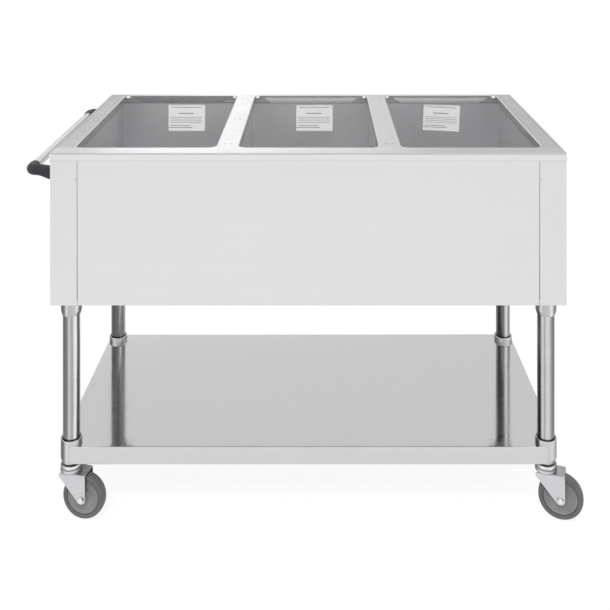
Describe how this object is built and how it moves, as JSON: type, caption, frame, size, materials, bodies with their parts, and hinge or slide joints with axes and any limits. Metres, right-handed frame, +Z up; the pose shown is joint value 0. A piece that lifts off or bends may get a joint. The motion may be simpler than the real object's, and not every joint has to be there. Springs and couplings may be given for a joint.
{
  "type": "steam table",
  "caption": "Mobile electric steam table: stainless deck with open wells for full-size pans, boxed cabinet, undershelf, tube legs, swivel casters and a push handle.",
  "frame": {"origin": "on the floor, below the centre of the deck", "axes": "+Z up, +X to the right seen from the customer's side, +Y towards the operator's side with the controls"},
  "size_m": [1.2295, 0.565, 0.82],
  "materials": {
    "stainless_brushed": "brushed stainless sheet",
    "stainless_liner": "dull stainless sheet",
    "stainless_tube": "polished tube",
    "galvanised": "galvanised sheet",
    "element_sheath": "heat-stained sheath",
    "insulation_wool": "mineral wool",
    "switch_body": "moulded",
    "lamp_lens": "clear amber-red",
    "black_plastic": "fine-grained moulding",
    "wire_jacket": "smooth",
    "cord_jacket": "dull",
    "zinc_plate": "bright zinc plate",
    "paper": "matt paper",
    "wheel_plastic": "moulded",
    "tyre_rubber": "smooth grey rubber"
  },
  "bodies": {
    "cabinet": {"top_deck": "stainless_brushed", "front_panel": "stainless_brushed", "left_end_panel": "stainless_brushed", "right_end_panel": "stainless_brushed", "rear_control_panel": "stainless_brushed", "bottom_panel": "galvanised", "well_liner_left": "stainless_liner", "well_liner_centre": "stainless_liner", "well_liner_right": "stainless_liner", "heating_element_left": "element_sheath", "heating_element_centre": "element_sheath", "heating_element_right": "element_sheath", "element_supports": "galvanised", "deck_channels": "galvanised", "well_insulation": "insulation_wool", "control_switches": "switch_body", "pilot_lamps": "lamp_lens", "terminal_block": "black_plastic", "wiring_harness": "wire_jacket", "power_cord": "cord_jacket", "cord_clips": "black_plastic", "strain_relief": "black_plastic", "power_plug": "black_plastic", "leg_sockets": "stainless_brushed", "leg_front_left": "stainless_tube", "leg_front_right": "stainless_tube", "leg_rear_left": "stainless_tube", "leg_rear_right": "stainless_tube", "undershelf": "stainless_brushed", "shelf_sleeves": "stainless_brushed", "shelf_stiffener": "galvanised", "set_screws": "zinc_plate", "handle_bar": "stainless_brushed", "handle_elbow_front": "black_plastic", "handle_elbow_rear": "black_plastic", "handle_screws": "zinc_plate", "well_labels": "paper", "panel_rivets": "zinc_plate", "caster_stems": "zinc_plate"},
    "knob_left": {"knob_left": "black_plastic"},
    "knob_centre": {"knob_centre": "black_plastic"},
    "knob_right": {"knob_right": "black_plastic"},
    "caster_front_left": {"caster_fork_front_left": "zinc_plate", "caster_axle_front_left": "zinc_plate"},
    "wheel_front_left": {"wheel_hub_front_left": "wheel_plastic", "tyre_front_left": "tyre_rubber"},
    "caster_front_right": {"caster_fork_front_right": "zinc_plate", "caster_axle_front_right": "zinc_plate"},
    "wheel_front_right": {"wheel_hub_front_right": "wheel_plastic", "tyre_front_right": "tyre_rubber"},
    "caster_rear_left": {"caster_fork_rear_left": "zinc_plate", "caster_axle_rear_left": "zinc_plate"},
    "wheel_rear_left": {"wheel_hub_rear_left": "wheel_plastic", "tyre_rear_left": "tyre_rubber"},
    "brake_rear_left": {"brake_pedal_rear_left": "zinc_plate"},
    "caster_rear_right": {"caster_fork_rear_right": "zinc_plate", "caster_axle_rear_right": "zinc_plate"},
    "wheel_rear_right": {"wheel_hub_rear_right": "wheel_plastic", "tyre_rear_right": "tyre_rubber"},
    "brake_rear_right": {"brake_pedal_rear_right": "zinc_plate"}
  },
  "joints": [
    {"name": "knob_left_turn", "type": "hinge", "parent": "cabinet", "child": "knob_left", "pos_m": [-0.361, 0.2512, 0.542], "axis": [0, 1, 0], "continuous": true},
    {"name": "knob_centre_turn", "type": "hinge", "parent": "cabinet", "child": "knob_centre", "pos_m": [0, 0.2512, 0.542], "axis": [0, 1, 0], "continuous": true},
    {"name": "knob_right_turn", "type": "hinge", "parent": "cabinet", "child": "knob_right", "pos_m": [0.361, 0.2512, 0.542], "axis": [0, 1, 0], "continuous": true},
    {"name": "caster_front_left_swivel", "type": "hinge", "parent": "cabinet", "child": "caster_front_left", "pos_m": [-0.528, -0.2255, 0.102], "axis": [0, 0, 1], "continuous": true},
    {"name": "wheel_front_left_spin", "type": "hinge", "parent": "caster_front_left", "child": "wheel_front_left", "pos_m": [-0.4967, -0.23215, 0.0485], "axis": [0.2079, 0.9781, 0], "continuous": true},
    {"name": "caster_front_right_swivel", "type": "hinge", "parent": "cabinet", "child": "caster_front_right", "pos_m": [0.528, -0.2255, 0.102], "axis": [0, 0, 1], "continuous": true},
    {"name": "wheel_front_right_spin", "type": "hinge", "parent": "caster_front_right", "child": "wheel_front_right", "pos_m": [0.55843, -0.23539, 0.0485], "axis": [0.309, 0.9511, 0], "continuous": true},
    {"name": "caster_rear_left_swivel", "type": "hinge", "parent": "cabinet", "child": "caster_rear_left", "pos_m": [-0.528, 0.2255, 0.102], "axis": [0, 0, 1], "continuous": true},
    {"name": "wheel_rear_left_spin", "type": "hinge", "parent": "caster_rear_left", "child": "wheel_rear_left", "pos_m": [-0.49639, 0.23051, 0.0485], "axis": [-0.1564, 0.9877, 0], "continuous": true},
    {"name": "brake_rear_left_press", "type": "hinge", "parent": "caster_rear_left", "child": "brake_rear_left", "pos_m": [-0.48158, 0.23285, 0.105], "axis": [-0.1564, 0.9877, 0], "range_deg": [0, 12]},
    {"name": "caster_rear_right_swivel", "type": "hinge", "parent": "cabinet", "child": "caster_rear_right", "pos_m": [0.528, 0.2255, 0.102], "axis": [0, 0, 1], "continuous": true},
    {"name": "wheel_rear_right_spin", "type": "hinge", "parent": "caster_rear_right", "child": "wheel_rear_right", "pos_m": [0.49649, 0.23106, 0.0485], "axis": [-0.1736, -0.9848, 0], "continuous": true},
    {"name": "brake_rear_right_press", "type": "hinge", "parent": "caster_rear_right", "child": "brake_rear_right", "pos_m": [0.48171, 0.23366, 0.105], "axis": [-0.1736, -0.9848, 0], "range_deg": [0, 12]}
  ]
}
